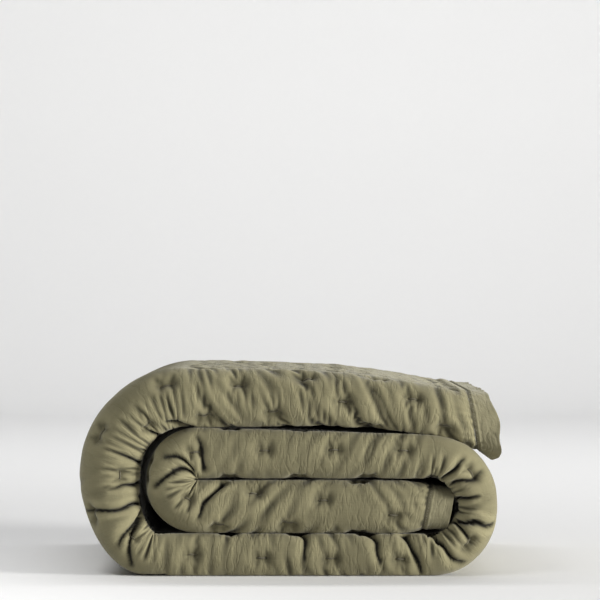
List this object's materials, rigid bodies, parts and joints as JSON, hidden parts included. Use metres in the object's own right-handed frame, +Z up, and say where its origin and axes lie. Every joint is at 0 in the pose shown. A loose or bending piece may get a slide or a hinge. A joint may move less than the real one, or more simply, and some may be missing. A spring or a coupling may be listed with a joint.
{
  "type": "quilted comforter",
  "caption": "Quilted linen comforter folded lengthwise into a padded strip and rolled flat, with tacked quilting and flat stitched hems.",
  "frame": {"origin": "under the middle of the roll, on the surface it lies on", "axes": "+Z up, +X along the roll's layers towards their open ends, -Y the side where the front fold shows"},
  "size_m": [0.6188, 0.5712, 0.3006],
  "materials": {
    "linen": "washed sage green linen",
    "hem_linen": "washed sage green linen, unpadded",
    "batting": "off-white fibre batting",
    "topstitch_thread": "matte sewing thread",
    "tack_thread": "matte embroidery thread",
    "label_tape": "off-white woven tape, blank"
  },
  "bodies": {
    "root": {"back_cover": "linen", "care_label": "label_tape", "face_cover": "linen", "filling": "batting", "inner_end_hem": "hem_linen", "inner_end_topstitch": "topstitch_thread", "lower_side_hem": "hem_linen", "lower_side_topstitch": "topstitch_thread", "outer_end_hem": "hem_linen", "outer_end_topstitch": "topstitch_thread", "tack_01": "tack_thread", "tack_02": "tack_thread", "tack_03": "tack_thread", "tack_04": "tack_thread", "tack_05": "tack_thread", "tack_06": "tack_thread", "tack_07": "tack_thread", "tack_08": "tack_thread", "tack_09": "tack_thread", "tack_10": "tack_thread", "tack_11": "tack_thread", "tack_12": "tack_thread", "tack_13": "tack_thread", "tack_14": "tack_thread", "tack_15": "tack_thread", "tack_16": "tack_thread", "tack_17": "tack_thread", "tack_18": "tack_thread", "tack_19": "tack_thread", "tack_20": "tack_thread", "tack_21": "tack_thread", "tack_22": "tack_thread", "tack_23": "tack_thread", "tack_24": "tack_thread", "tack_25": "tack_thread", "tack_26": "tack_thread", "tack_27": "tack_thread", "tack_28": "tack_thread", "tack_29": "tack_thread", "upper_side_hem": "hem_linen", "upper_side_topstitch": "topstitch_thread"}
  },
  "joints": []
}
